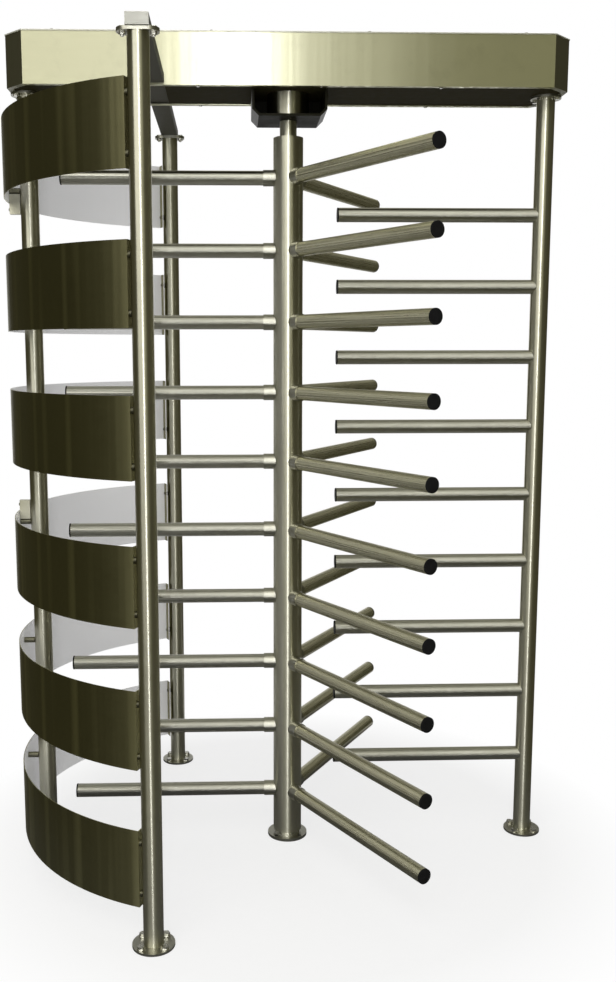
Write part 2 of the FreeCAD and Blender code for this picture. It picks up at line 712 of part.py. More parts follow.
def make_bearing():
    mid_z = BEARING_Z + BEARING_W / 2
    groove = Part.makeTorus(bearing_pitch_r(), BALL_D / 2 + RUNNING, Vec(0, 0, mid_z))
    base = Vec(0, 0, BEARING_Z)
    outer = tube(BEARING_D, BEARING_D - 2 * RING_WALL, BEARING_W, base)
    inner = tube(SHAFT_TOP_D + 2 * (RING_WALL + FIT), SHAFT_TOP_D + 2 * FIT, BEARING_W, base)
    save("bearing_outer_ring", outer.cut(groove))
    save("bearing_inner_ring", inner.cut(groove))
    balls = []
    for i in range(BALL_COUNT):
        x, y = polar(bearing_pitch_r(), 360 * i / BALL_COUNT)
        balls.append(Part.makeSphere(BALL_D / 2, Vec(x, y, mid_z)))
    save("bearing_balls", *balls)


def make_shaft():
    spigot = cylinder(SPIGOT_D, SPIGOT_LENGTH, Vec(0, 0, COLUMN_TOP_Z - SPIGOT_LENGTH))
    neck = cylinder(SHAFT_D, BEARING_Z - COLUMN_TOP_Z, Vec(0, 0, COLUMN_TOP_Z))
    top = cylinder(SHAFT_TOP_D, SHAFT_TOP_Z - BEARING_Z, Vec(0, 0, BEARING_Z))
    save("drive_shaft", spigot.fuse([neck, top]).removeSplitter())


def make_mechanism_plate():
    reach = RAIL_Y + RAIL_W / 2
    plate = box(-MECH_PLATE_X, MECH_PLATE_X, -reach, reach, RAIL_TOP_Z, MECH_TOP_Z)
    hole = cylinder(BEARING_D - RING_WALL, MECH_PLATE_T, Vec(0, 0, RAIL_TOP_Z))
    bolt_d = FLANGE_BOLT_D + HOLE_CLEAR
    bolt_cuts = holes(mechanism_bolt_points(), bolt_d, RAIL_TOP_Z, MECH_PLATE_T)
    pins = holes(pawl_pivots(), PAWL_PIN_D + 2 * FIT, RAIL_TOP_Z, MECH_PLATE_T)
    save("mechanism_plate", cut_all(plate, [hole] + bolt_cuts + pins))


def make_index_disc():
    """Notched disc on the shaft, its hub standing on the bearing's inner ring."""
    disc = cylinder(2 * DISC_R, DISC_T, Vec(0, 0, DISC_Z))
    height = DISC_Z + DISC_T - RAIL_TOP_Z
    hub = cylinder(DISC_HUB_D, height, Vec(0, 0, RAIL_TOP_Z))
    disc = disc.fuse(hub).removeSplitter()
    half = NOTCH_W / 2
    notch = box(DISC_R - NOTCH_DEPTH, DISC_R + NOTCH_DEPTH, -half, half, DISC_Z, DISC_Z + DISC_T)
    notches = [turned(notch, 360 * i / NOTCH_COUNT) for i in range(NOTCH_COUNT)]
    bore = cylinder(SHAFT_TOP_D + 2 * FIT, height, Vec(0, 0, RAIL_TOP_Z))
    save("index_disc", cut_all(disc, notches + [bore]))


# Locking pawls, one on each side of the index disc
def pawl_pivots():
    return [(PAWL_PIVOT_X, PAWL_PIVOT_Y), (-PAWL_PIVOT_X, PAWL_PIVOT_Y)]


def right_pawl():
    """Drawn with its nose in a notch, then swung out by PAWL_SWING to its rest place."""
    half = PAWL_W / 2
    nose_half = PAWL_NOSE_W / 2
    px, py = PAWL_PIVOT_X, PAWL_PIVOT_Y
    z0, z1 = DISC_Z, DISC_Z + DISC_T
    arm = box(px - half, px + half, py, half, z0, z1)
    nose = box(DISC_R - PAWL_NOSE_DEPTH, px, -nose_half, nose_half, z0, z1)
    eye = cylinder(PAWL_W + half, DISC_T, Vec(px, py, z0))
    body = arm.fuse([nose, eye]).removeSplitter()
    body = body.cut(cylinder(PAWL_PIN_D + 2 * RUNNING, DISC_T, Vec(px, py, z0)))
    return turned(body, -PAWL_SWING, Vec(px, py, 0))


def make_pawls():
    pawl = right_pawl()
    save("pawl_right", pawl)
    save("pawl_left", mirrored_x(pawl))
    pins = []
    collar_t = DISC_ABOVE_PLATE - SEAT_GAP
    head_z = DISC_Z + DISC_T + SEAT_GAP
    for x, y in pawl_pivots():
        pin = cylinder(PAWL_PIN_D, head_z - RAIL_TOP_Z, Vec(x, y, RAIL_TOP_Z))
        collar = cylinder(PAWL_W, collar_t, Vec(x, y, MECH_TOP_Z))
        head = cylinder(PAWL_W, WASHER_T, Vec(x, y, head_z))
        pins.append(pin.fuse([collar, head]).removeSplitter())
    save("pawl_pins", *pins)


def plunger_tip_x():
    """Centre of the plunger's round tip at rest, just clear of the swung-out pawl's back."""
    swing = math.radians(PAWL_SWING)
    clear = PAWL_W / 2 + PLUNGER_D / 2 + SEAT_GAP
    lever = PLUNGER_Y - PAWL_PIVOT_Y
    return PAWL_PIVOT_X + (clear + lever * math.sin(swing)) / math.cos(swing)


def make_solenoids():
    z = DISC_Z + DISC_T / 2
    along = Vec(1, 0, 0)
    tip_x = plunger_tip_x()
    rod = cylinder(PLUNGER_D, PLUNGER_LENGTH, Vec(tip_x, PLUNGER_Y, z), along)
    tip = Part.makeSphere(PLUNGER_D / 2, Vec(tip_x, PLUNGER_Y, z))
    plunger = rod.fuse(tip).removeSplitter()
    save("plunger_right", plunger)
    save("plunger_left", mirrored_x(plunger))
    x0 = tip_x + SOLENOID_GAP
    half = SOLENOID_W / 2
    top_z = MECH_TOP_Z + SOLENOID_H
    body = box(x0, x0 + SOLENOID_LENGTH, PLUNGER_Y - half, PLUNGER_Y + half, MECH_TOP_Z, top_z)
    depth = SOLENOID_LENGTH - PAWL_W / 2
    bore = cylinder(PLUNGER_D + 2 * RUNNING, depth, Vec(x0, PLUNGER_Y, z), along)
    body = body.cut(bore)
    save("solenoids", body, mirrored_x(body))


def make_control_box():
    reach = RAIL_Y + RAIL_W / 2
    x1 = HEAD_LENGTH / 2 - CONTROL_BOX_INSET
    x0 = x1 - CONTROL_BOX_LENGTH
    save("control_box", box(x0, x1, -reach, reach, RAIL_TOP_Z, RAIL_TOP_Z + CONTROL_BOX_H))


# Floor pivot
def make_floor_pivot():
    plate = cylinder(PIVOT_PLATE_D, PIVOT_PLATE_T, Vec(0, 0, 0))
    reach = PIVOT_HOLE_SPACING / 2
    points = [(i * reach, j * reach) for i in (-1, 1) for j in (-1, 1)]
    plate = cut_all(plate, holes(points, PIVOT_HOLE_D, 0, PIVOT_PLATE_T))
    save("pivot_plate", plate)
    length = COLUMN_BOTTOM_Z + PIVOT_PIN_IN_COLUMN - PIVOT_PLATE_T
    save("pivot_pin", cylinder(PIVOT_PIN_D, length, Vec(0, 0, PIVOT_PLATE_T)))
    ring_h = COLUMN_BOTTOM_Z - PIVOT_PLATE_T - SEAT_GAP
    ring = tube(PIVOT_RING_D, PIVOT_PIN_D + 2 * RUNNING, ring_h, Vec(0, 0, PIVOT_PLATE_T))
    save("pivot_ring", ring)


# Rotor
def make_column():
    inner = COLUMN_D - 2 * COLUMN_WALL
    height = COLUMN_TOP_Z - COLUMN_BOTTOM_Z
    save("rotor_column", tube(COLUMN_D, inner, height, Vec(0, 0, COLUMN_BOTTOM_Z)))
    plug_d = inner - 2 * FIT
    top = tube(plug_d, SPIGOT_D + 2 * FIT, PLUG_T, Vec(0, 0, COLUMN_TOP_Z - PLUG_T))
    bush = tube(plug_d, PIVOT_PIN_D + 2 * RUNNING, PLUG_T, Vec(0, 0, COLUMN_BOTTOM_Z))
    save("column_plugs", top, bush)


def arm_heights():
    return [LOWEST_ARM_Z + i * ARM_PITCH for i in range(ARM_ROWS)]


def make_wings():
    along = Vec(1, 0, 0)
    column = cylinder(COLUMN_D + 2 * SEAT_GAP, HEAD_TOP_Z, Vec(0, 0, 0))
    start = COLUMN_R + ARM_ROOT_GAP
    end = ARM_TIP_R - ARM_CAP_T
    sockets = []
    caps = []
    for name, angle in zip(("a", "b", "c"), WING_ANGLES):
        arms = []
        for z in arm_heights():
            bar = tube(ARM_D, ARM_D - 2 * ARM_WALL, end - start, Vec(start, 0, z), along)
            arms.append(turned(bar, angle))
            socket = tube(SOCKET_D, ARM_D + 2 * SEAT_GAP, COLUMN_R + SOCKET_LENGTH, Vec(0, 0, z), along)
            sockets.append(turned(front_solid(socket.cut(column)), angle))
            caps.append(turned(cylinder(ARM_D, ARM_CAP_T, Vec(end, 0, z), along), angle))
        save("rotor_arms_" + name, *arms)
    save("arm_sockets", *sockets)
    save("arm_caps", *caps)


def front_solid(shape):
    """The piece of a cut socket that lies outside the column."""
    return max(shape.Solids, key=lambda solid: solid.CenterOfMass.x)


def main():
    os.makedirs("parts", exist_ok=True)
    make_posts()
    make_base_flanges()
    make_top_flanges()
    make_flange_bolts()
    make_cross_beam()
    make_panels()
    make_panel_fixings()
    make_stop_clips()
    make_comb()
    make_head_shell()
    make_head_plates()
    make_head_screws()
    make_head_frame()
    make_cover_lock()
    make_bearing_housing()
    make_bearing()
    make_shaft()
    make_mechanism_plate()
    make_index_disc()
    make_pawls()
    make_solenoids()
    make_control_box()
    make_floor_pivot()
    make_column()
    make_wings()


main()
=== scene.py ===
import math

import bpy
from mathutils import Matrix, Vector

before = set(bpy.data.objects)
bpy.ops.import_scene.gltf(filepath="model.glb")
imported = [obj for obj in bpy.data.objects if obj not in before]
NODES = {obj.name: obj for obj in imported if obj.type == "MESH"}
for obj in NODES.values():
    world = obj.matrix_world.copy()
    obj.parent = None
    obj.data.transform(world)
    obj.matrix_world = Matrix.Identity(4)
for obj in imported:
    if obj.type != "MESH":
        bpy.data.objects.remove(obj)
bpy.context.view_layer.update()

# Full height turnstile: its materials, and the camera, lamps, floor and surroundings that show it

# Camera: a plain pinhole at the photograph's viewpoint. Lengths in metres, angles in radians, and the
# photograph's size, focal length and column of the optical axis in pixels.
PHOTO_W = 616
PHOTO_H = 982
CAMERA_PLACE = (-0.1526, -2.8457, 1.3992)
CAMERA_YAW = 0.0332
CAMERA_PITCH = -0.137
CAMERA_ROLL = -0.0014
FOCAL_PX = 1032.84
CENTRE_U = 266.9
SENSOR_MM = 36.0
NEAREST = 0.05
FARTHEST = 60

# Colours of the lamps, and the point that they aim at
WHITE = (1, 1, 1)
CREAM = (1.0, 0.985, 0.91)
PALE_OLIVE = (1.0, 0.99, 0.84)
OLIVE = (1.0, 0.98, 0.66)
TARGET = (0, 0, 1.2)

# What metal mirrors besides the lamps: a dim room with a pale ceiling, and a white backdrop behind.
# An edge is the span of a direction's upward or rearward part in which the room turns into it.
ROOM = (0.062, 0.058, 0.033)
CEILING = (0.46, 0.45, 0.36)
CEILING_EDGE = (0.45, 0.90)
BACKDROP_EDGE = (0.89, 0.94)

# Strength of the even white light that falls on everything
AMBIENT = 0.60

# Floor: its radius, the radii in which it fades to white, the places behind the axis where metal
# begins to mirror it white, how white the camera sees it near the object, and its part in metal
FLOOR_R = 1.05
FLOOR_FADE = (0.72, 1.02)
FLOOR_BEHIND = (0.2, 0.8)
FLOOR_NEAR_WHITE = 0.72
FLOOR_IN_METAL = 0.12
FLOOR_SHADES = ((0.78, 0.78, 0.78), (0.82, 0.82, 0.82))
FLOOR_ROUGHNESS = 0.9
FLOOR_CORNERS = 96

# Brush marks, in metres: a mark's size, and its reach along X, Y and Z on each kind of piece
MARK_W = 0.0012
MARK_LENGTH = 0.05
LEVEL_MARKS = (MARK_LENGTH, MARK_LENGTH, MARK_W)
BAR_MARKS = (4 * MARK_LENGTH, 2 * MARK_W, 2 * MARK_W)
LID_MARKS = (4 * MARK_LENGTH, MARK_W, MARK_W)
CAP_MARKS = (MARK_LENGTH, MARK_LENGTH, 4 * MARK_W)

# Worn edges and the upright waves of the sheets, in metres
WEAR_R = 0.0012
WAVE_W = 0.045
WAVE_LENGTH = 2.5
WAVE_SIZE = (WAVE_W, WAVE_W, WAVE_LENGTH)
PANEL_WAVE = 0.0012
FASCIA_WAVE = 0.0003

# Fine relief: its depth in metres, and its strength on each kind of surface
GRAIN_DEPTH = 0.0003
BRUSHED_RELIEF = 0.05
CAST_RELIEF = 0.08
COAT_RELIEF = 0.1

# Noise scales: about how many clouds, smudges, spots or grains lie in a metre, and streaks in a wave
CLOUDS = 3.0
SMUDGES = 14.0
FLOOR_SPOTS = 30.0
COAT_SPOTS = 60.0
COAT_GRAINS = 900.0
CAST_SPOTS = 160.0
CAST_GRAINS = 700.0
STREAKS = 0.8

# Spans: the whole of a part and its reverse, most of a noise, the part of it that shows as smudges or
# streaks, how a face's direction agrees with its rounded edge's from flat to worn, and how a panel
# face's agrees with the outward one from the outer side to the inner
UNIT = (0.0, 1.0)
REVERSED = (1.0, 0.0)
NOISE_SPAN = (0.3, 0.7)
SMUDGE_SPAN = (0.55, 0.75)
STREAK_SPAN = (0.46, 0.66)
EDGE_SPAN = (0.99, 0.85)
INNER_SPAN = (-0.3, -0.7)

# How strong smudges get, how dark they are, and how bright worn edges are
SMUDGE_AMOUNT = (0.0, 0.25)
SMUDGE_SHADE = 0.7
WORN_SHEET = 1.3
WORN_CAST = 1.25
SCUFFED_COAT = 2.0

# How far roughness goes below and above its usual value
SMOOTHER = 0.05
ROUGHER_BRUSHED = 0.06
ROUGHER_MOTTLED = 0.08

# Specular level of the near-black hub box, the painted shade of the beam and the head's underside, and
# black plastics
DULL_SPECULAR = 0.03

# Directions that highlights are drawn out in
ALONG_X = (1, 0, 0)
ALONG_Y = (0, 1, 0)
UPRIGHT = (0, 0, 1)

# Plan centre of the curved panels, and the space that the hub fills inside its box, in metres
PANEL_CENTRE_X = -0.13815
HUB_R = 0.0555
HUB_BOTTOM_Z = 2.0012

# Shades of the materials, dark and light
STEEL = ((0.60, 0.59, 0.49), (0.70, 0.69, 0.58))
# Two tinted copies of one bar steel, partly a painted reflection: cool on the bars along X, olive on arms
# b and c, for the surroundings each mirrors
COOL_PAINTED_REFLECTION_STEEL = ((0.59, 0.585, 0.525), (0.69, 0.685, 0.615))
OLIVE_PAINTED_REFLECTION_STEEL = ((0.58, 0.56, 0.42), (0.68, 0.66, 0.50))
PANEL_STEEL = ((0.25, 0.237, 0.130), (0.32, 0.305, 0.175))
PANEL_STREAK = (0.58, 0.56, 0.33)
PANEL_INSIDE = (0.95, 0.95, 0.98)
FASCIA_STEEL = ((0.58, 0.575, 0.415), (0.64, 0.635, 0.47))
COVER_STEEL = ((0.52, 0.52, 0.46), (0.60, 0.60, 0.54))
CAP_STEEL = ((0.42, 0.42, 0.40), (0.52, 0.52, 0.50))
BRIGHT_METAL = ((0.62, 0.615, 0.57), (0.74, 0.735, 0.69))
DULL_METAL = ((0.16, 0.155, 0.11), (0.22, 0.215, 0.16))
FORGED_METAL = ((0.40, 0.395, 0.34), (0.52, 0.515, 0.46))
BLACK_PLASTIC = ((0.005, 0.005, 0.005), (0.012, 0.012, 0.012))
CASE_PLASTIC = ((0.38, 0.39, 0.40), (0.46, 0.47, 0.48))
# Dark painted shade on the cross beam, which is in shade under the head
BEAM_PAINTED_SHADE = ((0.050, 0.049, 0.038), (0.090, 0.088, 0.070))
# Near-black painted shade on the underside plates of the head, where the metal is in shade
UNDERSIDE_PAINTED_SHADE = ((0.020, 0.017, 0.007), (0.034, 0.030, 0.013))
HOUSING_NEAR_BLACK = ((0.007, 0.007, 0.004), (0.013, 0.012, 0.007))
FRAME_PAINT = ((0.030, 0.030, 0.030), (0.055, 0.055, 0.055))


def make_camera():
    data = bpy.data.cameras.new("camera")
    data.sensor_fit = "VERTICAL"
    data.sensor_height = SENSOR_MM
    data.lens = SENSOR_MM * FOCAL_PX / PHOTO_H
    data.shift_x = (PHOTO_W / 2 - CENTRE_U) / PHOTO_H
    data.clip_start = NEAREST
    data.clip_end = FARTHEST
    forward = Vector((
        math.sin(CAMERA_YAW) * math.cos(CAMERA_PITCH),
        math.cos(CAMERA_YAW) * math.cos(CAMERA_PITCH),
        math.sin(CAMERA_PITCH),
    ))
    level_right = Vector((math.cos(CAMERA_YAW), -math.sin(CAMERA_YAW), 0))
    level_up = level_right.cross(forward)
    right = level_right * math.cos(CAMERA_ROLL) + level_up * math.sin(CAMERA_ROLL)
    up = level_up * math.cos(CAMERA_ROLL) - level_right * math.sin(CAMERA_ROLL)
    turn = Matrix((right, up, -forward)).transposed().to_4x4()
    camera = bpy.data.objects.new("camera", data)
    camera.matrix_world = Matrix.Translation(CAMERA_PLACE) @ turn
    bpy.context.scene.collection.objects.link(camera)
    bpy.context.scene.camera = camera


def make_light(name, place, size, power, colour=WHITE):
    data = bpy.data.lights.new(name, "AREA")
    data.shape = "RECTANGLE"
    data.size, data.size_y = size
    data.energy = power
    data.color = colour
    lamp = bpy.data.objects.new(name, data)
    lamp.location = place
    aim = Vector(TARGET) - Vector(place)
    lamp.rotation_euler = aim.to_track_quat("-Z", "Y").to_euler()
    lamp.visible_camera = False
    bpy.context.scene.collection.objects.link(lamp)


def make_lights():
    """Each lamp has its place, its width and height in metres, its power in watts and its colour."""
    make_light("key", (-0.14, -4.7, 2.1), (0.38, 6.4), 70)
    make_light("left_fill", (-2.2, -4.0, 3.1), (3.8, 3.8), 71, CREAM)
    make_light("right_near", (0.70, -4.7, 2.8), (0.8, 4.2), 7.4, PALE_OLIVE)
    make_light("right_far", (1.85, -4.4, 2.8), (1.6, 4.2), 7.8, OLIVE)
    make_light("overhead", (-0.8, -2.4, 4.6), (3.4, 2.8), 26, CREAM)


def new_material(name):
    material = bpy.data.materials.new(name)
    material.use_nodes = True
    tree = material.node_tree
    return material, tree, tree.nodes["Principled BSDF"]


# Node helpers: each takes the material's or the world's node tree first
def feed(tree, value, socket):
    """Link the value if it is a socket too, or else set it. None leaves the socket as it is."""
    if isinstance(value, bpy.types.NodeSocket):
        tree.links.new(value, socket)
    elif value is not None:
        socket.default_value = value


def math_node(tree, operation, a, b=None):
    node = tree.nodes.new("ShaderNodeMath")
    node.operation = operation
    feed(tree, a, node.inputs[0])
    feed(tree, b, node.inputs[1])
    return node.outputs["Value"]


def vector_node(tree, operation, a, b=None):
    node = tree.nodes.new("ShaderNodeVectorMath")
    node.operation = operation
    feed(tree, a, node.inputs[0])
    feed(tree, b, node.inputs[1])
    return node


def coordinates(tree, kind):
    return tree.nodes.new("ShaderNodeTexCoord").outputs[kind]


def axis_part(tree, vector, axis):
    node = tree.nodes.new("ShaderNodeSeparateXYZ")
    tree.links.new(vector, node.inputs["Vector"])
    return node.outputs[axis]


def stretched(tree, size, turn=0.0):
    """Object-space place, turned about Z and divided by the size of the marks along each axis."""
    mapping = tree.nodes.new("ShaderNodeMapping")
    mapping.vector_type = "TEXTURE"
    mapping.inputs["Rotation"].default_value = (0, 0, turn)
    mapping.inputs["Scale"].default_value = size
    tree.links.new(coordinates(tree, "Object"), mapping.inputs["Vector"])
    return mapping.outputs["Vector"]


def noise(tree, vector, scale=1.0, detail=4.0, rough=0.55):
    texture = tree.nodes.new("ShaderNodeTexNoise")
    texture.inputs["Scale"].default_value = scale
    texture.inputs["Detail"].default_value = detail
    texture.inputs["Roughness"].default_value = rough
    tree.links.new(vector, texture.inputs["Vector"])
    return texture.outputs["Fac"]


def ranged(tree, value, from_range, to_range=UNIT):
    node = tree.nodes.new("ShaderNodeMapRange")
    node.inputs["From Min"].default_value, node.inputs["From Max"].default_value = from_range
    node.inputs["To Min"].default_value, node.inputs["To Max"].default_value = to_range
    tree.links.new(value, node.inputs["Value"])
    return node.outputs["Result"]


def mixed(tree, factor, colour_a, colour_b):
    node = tree.nodes.new("ShaderNodeMix")
    node.data_type = "RGBA"
    tree.links.new(factor, node.inputs["Factor"])
    for name, value in (("A", colour_a), ("B", colour_b)):
        is_socket = isinstance(value, bpy.types.NodeSocket)
        feed(tree, value if is_socket else (*value, 1), node.inputs[name])
    return node.outputs["Result"]


def bumped(tree, height, strength, distance, under=None):
    """Surface relief from a height, on top of the relief under it when one is given."""
    node = tree.nodes.new("ShaderNodeBump")
    if under is not None:
        tree.links.new(under, node.inputs["Normal"])
    node.inputs["Strength"].default_value = strength
    node.inputs["Distance"].default_value = distance
    tree.links.new(height, node.inputs["Height"])
    return node.outputs["Normal"]


def object_direction(tree, direction):
    """A fixed object-space direction, given in world space for the shader's tangent."""
    node = tree.nodes.new("ShaderNodeVectorTransform")
    node.vector_type = "VECTOR"
    node.convert_from = "OBJECT"
    node.convert_to = "WORLD"
    node.inputs["Vector"].default_value = direction
    return node.outputs["Vector"]


def edge_wear(tree):
    """1 on sharp outer edges and 0 on the faces between them."""
    bevel = tree.nodes.new("ShaderNodeBevel")
    bevel.samples = 4
    bevel.inputs["Radius"].default_value = WEAR_R
    normal = tree.nodes.new("ShaderNodeNewGeometry").outputs["Normal"]
    facing = vector_node(tree, "DOT_PRODUCT", bevel.outputs["Normal"], normal).outputs["Value"]
    return ranged(tree, facing, EDGE_SPAN)


def uneven(tree, shader, value, roughness, rougher):
    """Roughness that follows a noise, from a little below its usual value to a little above."""
    spread = (roughness - SMOOTHER, roughness + rougher)
    tree.links.new(ranged(tree, value, NOISE_SPAN, spread), shader.inputs["Roughness"])


# Materials
def scaled(colour, factor):
    return tuple(min(1.0, factor * channel) for channel in colour)


def steel_base(tree, dark, light):
    """Base colour: slow clouds between two shades, with faint darker handling marks."""
    place = coordinates(tree, "Object")
    clouds = noise(tree, place, CLOUDS)
    stains = noise(tree, place, SMUDGES, detail=6.0, rough=0.65)
    smudges = ranged(tree, stains, SMUDGE_SPAN, SMUDGE_AMOUNT)
    return mixed(tree, smudges, mixed(tree, clouds, dark, light), scaled(dark, SMUDGE_SHADE))


def brushed(name, shades, marks, smear, roughness, turn=0.0, worn=False, wave=0.0, drawn=1.0):
    """Brushed steel: marks is the size of a brush mark, smear the way highlights spread.

    A wave above 0 is how far, in metres, the sheet stands off true in upright folds.
    Drawn is how much longer than wide a highlight is, from 0 to 1."""
    dark, light = shades
    material, tree, shader = new_material(name)
    grain = noise(tree, stretched(tree, marks, turn), detail=6.0, rough=0.7)
    colour = steel_base(tree, dark, light)
    if worn:
        colour = mixed(tree, edge_wear(tree), colour, scaled(light, WORN_SHEET))
    tree.links.new(colour, shader.inputs["Base Color"])
    uneven(tree, shader, grain, roughness, ROUGHER_BRUSHED)
    relief = None
    if wave > 0:
        folds = noise(tree, stretched(tree, WAVE_SIZE), detail=2.0)
        relief = bumped(tree, folds, 1.0, wave)
    fine = bumped(tree, grain, BRUSHED_RELIEF, GRAIN_DEPTH, relief)
    tree.links.new(fine, shader.inputs["Normal"])
    tree.links.new(object_direction(tree, smear), shader.inputs["Tangent"])
    shader.inputs["Anisotropic"].default_value = drawn
    shader.inputs["Metallic"].default_value = 1.0
    return material


def bar_steel(name, degrees, shades, roughness):
    """Drawn round bar along a level direction, with its marks along it."""
    turn = math.radians(degrees)
    direction = (math.cos(turn), math.sin(turn), 0)
    return brushed(name, shades, BAR_MARKS, direction, roughness, turn)


def coat_over(material, coated, bare, coat):
    """Cover a metal where coated is 1: there the colour is the coat's, and nothing is metallic."""
    tree = material.node_tree
    shader = tree.nodes["Principled BSDF"]
    tree.links.new(mixed(tree, coated, bare, coat), shader.inputs["Base Color"])
    tree.links.new(ranged(tree, coated, UNIT, REVERSED), shader.inputs["Metallic"])


def panel_inner_side(tree):
    """1 on the faces of a curved panel that look towards its centre."""
    radial = vector_node(tree, "SUBTRACT", coordinates(tree, "Object"), (PANEL_CENTRE_X, 0, 0))
    level = vector_node(tree, "MULTIPLY", radial.outputs["Vector"], (1, 1, 0))
    outward = vector_node(tree, "NORMALIZE", level.outputs["Vector"])
    facing = vector_node(tree, "DOT_PRODUCT", outward.outputs["Vector"], coordinates(tree, "Normal"))
    return ranged(tree, facing.outputs["Value"], INNER_SPAN)


def panel_steel():
    """Curved sheet: dark brushed metal with paler upright streaks outside, a pale satin coat inside."""
    material = brushed("panel_steel", PANEL_STEEL, LEVEL_MARKS, UPRIGHT, roughness=0.42,
                       wave=PANEL_WAVE, drawn=0.8)
    tree = material.node_tree
    sheet = tree.nodes["Principled BSDF"].inputs["Base Color"].links[0].from_socket
    folds = noise(tree, stretched(tree, WAVE_SIZE), STREAKS, detail=1.5)
    outside = mixed(tree, ranged(tree, folds, STREAK_SPAN), sheet, PANEL_STREAK)
    coat_over(material, panel_inner_side(tree), outside, PANEL_INSIDE)
    return material


def beside_hub(tree, place):
    """1 outside the space of the hub, which runs round the axis from the box's floor upwards."""
    level = vector_node(tree, "MULTIPLY", place, (1, 1, 0))
    radius = vector_node(tree, "LENGTH", level.outputs["Vector"]).outputs["Value"]
    beside = math_node(tree, "GREATER_THAN", radius, HUB_R)
    below = math_node(tree, "LESS_THAN", axis_part(tree, place, "Z"), HUB_BOTTOM_Z)
    return math_node(tree, "MAXIMUM", beside, below)


def housing_steel():
    """Steel hub round the axis, in a near-black box."""
    material = brushed("housing_steel", STEEL, LEVEL_MARKS, UPRIGHT, roughness=0.40)
    tree = material.node_tree
    shader = tree.nodes["Principled BSDF"]
    steel = shader.inputs["Base Color"].links[0].from_socket
    place = coordinates(tree, "Object")
    coat = mixed(tree, noise(tree, place, COAT_SPOTS), *HOUSING_NEAR_BLACK)
    coat_over(material, beside_hub(tree, place), steel, coat)
    shader.inputs["Specular IOR Level"].default_value = DULL_SPECULAR
    return material


def mottled(name, shades, roughness, spots, worn, grains, relief):
    """Two shades in fine spots, brighter along the edges, with a fine grain on the surface."""
    dark, light = shades
    material, tree, shader = new_material(name)
    place = coordinates(tree, "Object")
    mottle = noise(tree, place, spots)
    colour = mixed(tree, mottle, dark, light)
    edged = mixed(tree, edge_wear(tree), colour, scaled(light, worn))
    tree.links.new(edged, shader.inputs["Base Color"])
    uneven(tree, shader, mottle, roughness, ROUGHER_MOTTLED)
    grain = bumped(tree, noise(tree, place, grains), relief, GRAIN_DEPTH)
    tree.links.new(grain, shader.inputs["Normal"])
    return material, shader


def cast_metal(name, shades, roughness):
    """Turned or cast small parts, with bright wear along the edges."""
    material, shader = mottled(name, shades, roughness, CAST_SPOTS, WORN_CAST, CAST_GRAINS, CAST_RELIEF)
    shader.inputs["Metallic"].default_value = 1.0
    return material


def painted(name, shades, roughness, specular=0.5):
    """Moulded plastic or paint, with scuffed edges. It also gives the dark painted shade of the cross beam
    and the head's underside.
    """
    material, shader = mottled(name, shades, roughness, COAT_SPOTS, SCUFFED_COAT, COAT_GRAINS, COAT_RELIEF)
    shader.inputs["Specular IOR Level"].default_value = specular
    return material


def paint_nodes(material, *names):
    for name in names:
        node = NODES[name]
        node.data.materials.clear()
        node.data.materials.append(material)


def dress_posts_and_bars():
    upright = brushed("upright_steel", STEEL, LEVEL_MARKS, UPRIGHT, roughness=0.36, drawn=0.9)
    paint_nodes(upright, "head_post_left", "head_post_right", "drum_post_front", "drum_post_rear",
                "rotor_column", "column_plugs", "drive_shaft", "stop_clips")
    # The bars get tinted copies of one steel as a painted reflection: cool along X, olive on arms b and c
    sideways = bar_steel("bar_steel_x", degrees=0, shades=COOL_PAINTED_REFLECTION_STEEL, roughness=0.38)
    paint_nodes(sideways, "rotor_arms_a", "comb_bars")
    forwards = bar_steel("bar_steel_b", degrees=300, shades=OLIVE_PAINTED_REFLECTION_STEEL, roughness=0.28)
    paint_nodes(forwards, "rotor_arms_b")
    backwards = bar_steel("bar_steel_c", degrees=60, shades=OLIVE_PAINTED_REFLECTION_STEEL, roughness=0.28)
    paint_nodes(backwards, "rotor_arms_c")


def dress_sheets():
    panels = [name for name in NODES if name.startswith("drum_panel_")]
    paint_nodes(panel_steel(), *panels)
    fascia = brushed("fascia_steel", FASCIA_STEEL, LEVEL_MARKS, UPRIGHT, roughness=0.34, worn=True,
                     wave=FASCIA_WAVE)
    paint_nodes(fascia, "head_fascia_front", "head_fascia_rear")
    ends = brushed("end_steel", COVER_STEEL, LEVEL_MARKS, UPRIGHT, roughness=0.40, worn=True)
    paint_nodes(ends, "head_end_left", "head_end_right")
    lid = brushed("lid_steel", COVER_STEEL, LID_MARKS, ALONG_Y, roughness=0.40, worn=True)
    paint_nodes(lid, "head_lid")
    cap = brushed("cap_steel", CAP_STEEL, CAP_MARKS, ALONG_X, roughness=0.36, worn=True)
    paint_nodes(cap, "beam_caps")
    paint_nodes(housing_steel(), "bearing_housing")


def dress_small_parts():
    bright = cast_metal("bright_metal", BRIGHT_METAL, roughness=0.25)
    paint_nodes(bright, "anchor_bolts", "anchor_washers", "flange_bolts", "flange_nuts",
                "head_screws", "cover_lock", "pivot_pin", "pawl_pins", "pivot_ring",
                "bearing_outer_ring", "bearing_inner_ring", "bearing_balls", "plunger_left",
                "plunger_right")
    dull = cast_metal("dull_metal", DULL_METAL, roughness=0.40)
    paint_nodes(dull, "panel_screws", "panel_spacers")
    forged = cast_metal("forged_metal", FORGED_METAL, roughness=0.32)
    paint_nodes(forged, "base_flanges", "head_flanges", "beam_flanges", "arm_sockets", "pivot_plate",
                "index_disc", "pawl_left", "pawl_right")


